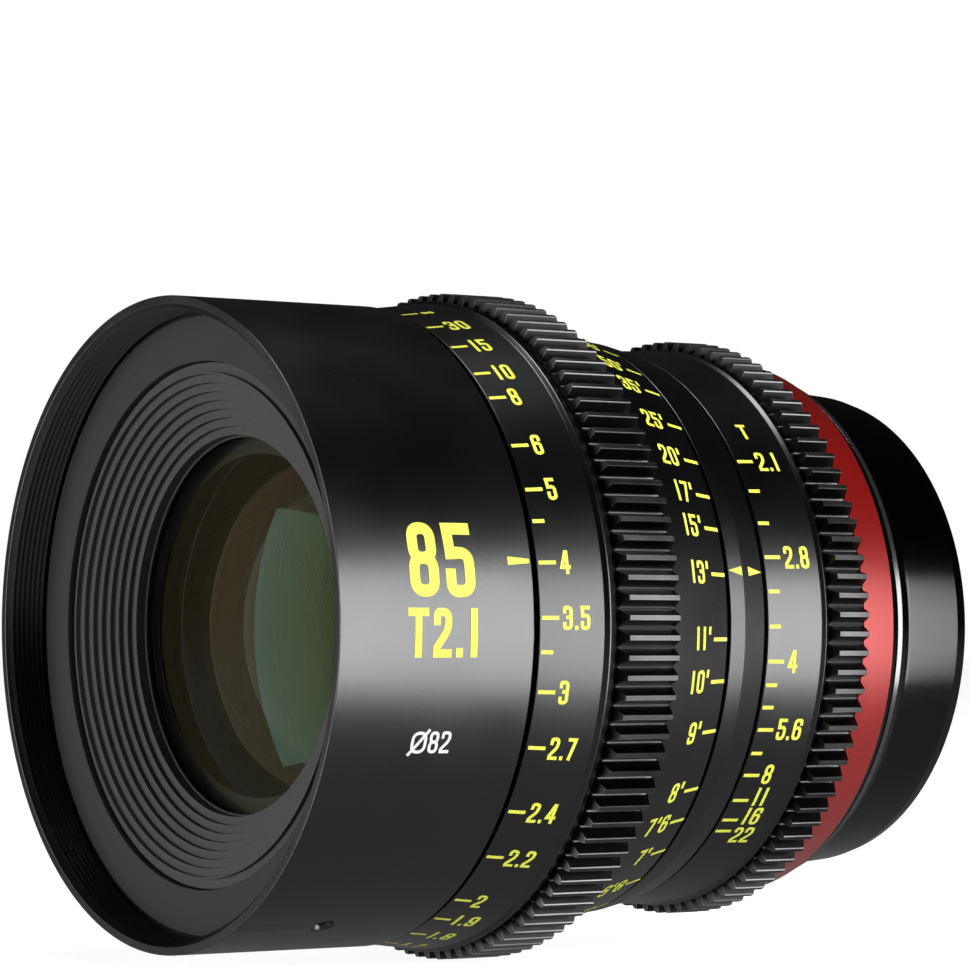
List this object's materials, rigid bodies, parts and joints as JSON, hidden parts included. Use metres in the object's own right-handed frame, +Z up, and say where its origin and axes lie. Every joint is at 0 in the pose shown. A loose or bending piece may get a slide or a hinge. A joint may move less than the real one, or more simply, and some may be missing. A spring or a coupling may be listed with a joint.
{
  "type": "cinema prime lens",
  "caption": "Black cinema prime lens with geared focus and iris rings, yellow scales, red accent ring and a bayonet rear mount.",
  "frame": {"origin": "centre of the rear mount's flange face, on the optical axis", "axes": "+Y along the optical axis from the front rim to the rear mount, +Z up with the scales' index marks facing +X"},
  "size_m": [0.0896, 0.1143, 0.0896],
  "materials": {
    "black_anodised": "satin black anodised, bead-blasted and fine turned",
    "gear_anodised": "satin black anodised, milled teeth with bright worn edges",
    "matt_black": "matt black anti-reflection paint on turned steps",
    "gloss_black": "polished black anodised, glossy",
    "red_anodised": "red anodised, satin",
    "mount_steel": "turned stainless steel",
    "inner_aluminium": "black anodised inner parts",
    "coated_glass": "optical glass with green and amber coating",
    "blade_steel": "blackened spring steel sheet",
    "screw_steel": "black oxide steel",
    "washer_plastic": "black low-friction plastic",
    "index_paint": "red enamel filled dot"
  },
  "bodies": {
    "barrel": {"front_barrel": "black_anodised", "grub_screws": "screw_steel", "front_ring": "matt_black", "front_baffle": "matt_black", "front_cell": "inner_aluminium", "front_element": "coated_glass", "second_element": "coated_glass", "front_cell_retainer": "inner_aluminium", "main_tube": "inner_aluminium", "index_ring": "black_anodised", "focus_front_washer": "washer_plastic", "focus_rear_washer": "washer_plastic", "iris_washer": "washer_plastic", "iris_housing": "inner_aluminium", "iris_retaining_ring": "inner_aluminium", "red_ring": "red_anodised", "rear_barrel": "gloss_black", "mount_index_dot": "index_paint", "mount_plate": "mount_steel", "mount_screws": "screw_steel", "rear_cell": "inner_aluminium", "rear_inner_element": "coated_glass", "rear_element": "coated_glass", "rear_retainer": "inner_aluminium", "rear_baffle": "matt_black"},
    "focus_ring": {"focus_ring": "black_anodised", "focus_sleeve": "inner_aluminium", "focus_ring_screws": "screw_steel"},
    "focus_carrier": {"focus_carrier": "inner_aluminium", "guide_keys": "screw_steel", "carrier_front_element": "coated_glass", "carrier_rear_element": "coated_glass", "carrier_front_retainer": "inner_aluminium", "carrier_rear_retainer": "inner_aluminium"},
    "iris_ring": {"iris_ring": "black_anodised", "iris_drive_pin": "screw_steel", "iris_cam_plate": "blade_steel"},
    "iris_blade_01": {"iris_blade_01": "blade_steel"},
    "iris_blade_02": {"iris_blade_02": "blade_steel"},
    "iris_blade_03": {"iris_blade_03": "blade_steel"},
    "iris_blade_04": {"iris_blade_04": "blade_steel"},
    "iris_blade_05": {"iris_blade_05": "blade_steel"},
    "iris_blade_06": {"iris_blade_06": "blade_steel"},
    "iris_blade_07": {"iris_blade_07": "blade_steel"},
    "iris_blade_08": {"iris_blade_08": "blade_steel"},
    "iris_blade_09": {"iris_blade_09": "blade_steel"},
    "iris_blade_10": {"iris_blade_10": "blade_steel"},
    "iris_blade_11": {"iris_blade_11": "blade_steel"}
  },
  "joints": [
    {"name": "focus_turn", "type": "hinge", "parent": "barrel", "child": "focus_ring", "pos_m": [0, -0.065, 0], "axis": [0, 1, 0], "range_deg": [-265.5, 64.5]},
    {"name": "focus_travel", "type": "slide", "parent": "barrel", "child": "focus_carrier", "axis": [0, 1, 0], "range_m": [-0.00484, 0.00118]},
    {"name": "iris_turn", "type": "hinge", "parent": "barrel", "child": "iris_ring", "pos_m": [0, -0.032, 0], "axis": [0, 1, 0], "range_deg": [-55.96, 24.23]},
    {"name": "blade_01_swing", "type": "hinge", "parent": "barrel", "child": "iris_blade_01", "pos_m": [0, -0.0315, 0.026], "axis": [0, 1, 0], "range_deg": [-10.2, 23.4]},
    {"name": "blade_02_swing", "type": "hinge", "parent": "barrel", "child": "iris_blade_02", "pos_m": [0.01406, -0.0315, 0.02187], "axis": [0, 1, 0], "range_deg": [-10.2, 23.4]},
    {"name": "blade_03_swing", "type": "hinge", "parent": "barrel", "child": "iris_blade_03", "pos_m": [0.02365, -0.0315, 0.0108], "axis": [0, 1, 0], "range_deg": [-10.2, 23.4]},
    {"name": "blade_04_swing", "type": "hinge", "parent": "barrel", "child": "iris_blade_04", "pos_m": [0.02574, -0.0315, -0.0037], "axis": [0, 1, 0], "range_deg": [-10.2, 23.4]},
    {"name": "blade_05_swing", "type": "hinge", "parent": "barrel", "child": "iris_blade_05", "pos_m": [0.01965, -0.0315, -0.01703], "axis": [0, 1, 0], "range_deg": [-10.2, 23.4]},
    {"name": "blade_06_swing", "type": "hinge", "parent": "barrel", "child": "iris_blade_06", "pos_m": [0.00732, -0.0315, -0.02495], "axis": [0, 1, 0], "range_deg": [-10.2, 23.4]},
    {"name": "blade_07_swing", "type": "hinge", "parent": "barrel", "child": "iris_blade_07", "pos_m": [-0.00732, -0.0315, -0.02495], "axis": [0, 1, 0], "range_deg": [-10.2, 23.4]},
    {"name": "blade_08_swing", "type": "hinge", "parent": "barrel", "child": "iris_blade_08", "pos_m": [-0.01965, -0.0315, -0.01703], "axis": [0, 1, 0], "range_deg": [-10.2, 23.4]},
    {"name": "blade_09_swing", "type": "hinge", "parent": "barrel", "child": "iris_blade_09", "pos_m": [-0.02574, -0.0315, -0.0037], "axis": [0, 1, 0], "range_deg": [-10.2, 23.4]},
    {"name": "blade_10_swing", "type": "hinge", "parent": "barrel", "child": "iris_blade_10", "pos_m": [-0.02365, -0.0315, 0.0108], "axis": [0, 1, 0], "range_deg": [-10.2, 23.4]},
    {"name": "blade_11_swing", "type": "hinge", "parent": "barrel", "child": "iris_blade_11", "pos_m": [-0.01406, -0.0315, 0.02187], "axis": [0, 1, 0], "range_deg": [-10.2, 23.4]}
  ],
  "couplings": [
    {"joint": "focus_travel", "follows": "focus_turn", "m_per_rad": 0.0010417},
    {"joint": "blade_01_swing", "follows": "iris_turn", "ratio": -0.41646},
    {"joint": "blade_02_swing", "follows": "iris_turn", "ratio": -0.41646},
    {"joint": "blade_03_swing", "follows": "iris_turn", "ratio": -0.41646},
    {"joint": "blade_04_swing", "follows": "iris_turn", "ratio": -0.41646},
    {"joint": "blade_05_swing", "follows": "iris_turn", "ratio": -0.41646},
    {"joint": "blade_06_swing", "follows": "iris_turn", "ratio": -0.41646},
    {"joint": "blade_07_swing", "follows": "iris_turn", "ratio": -0.41646},
    {"joint": "blade_08_swing", "follows": "iris_turn", "ratio": -0.41646},
    {"joint": "blade_09_swing", "follows": "iris_turn", "ratio": -0.41646},
    {"joint": "blade_10_swing", "follows": "iris_turn", "ratio": -0.41646},
    {"joint": "blade_11_swing", "follows": "iris_turn", "ratio": -0.41646}
  ]
}
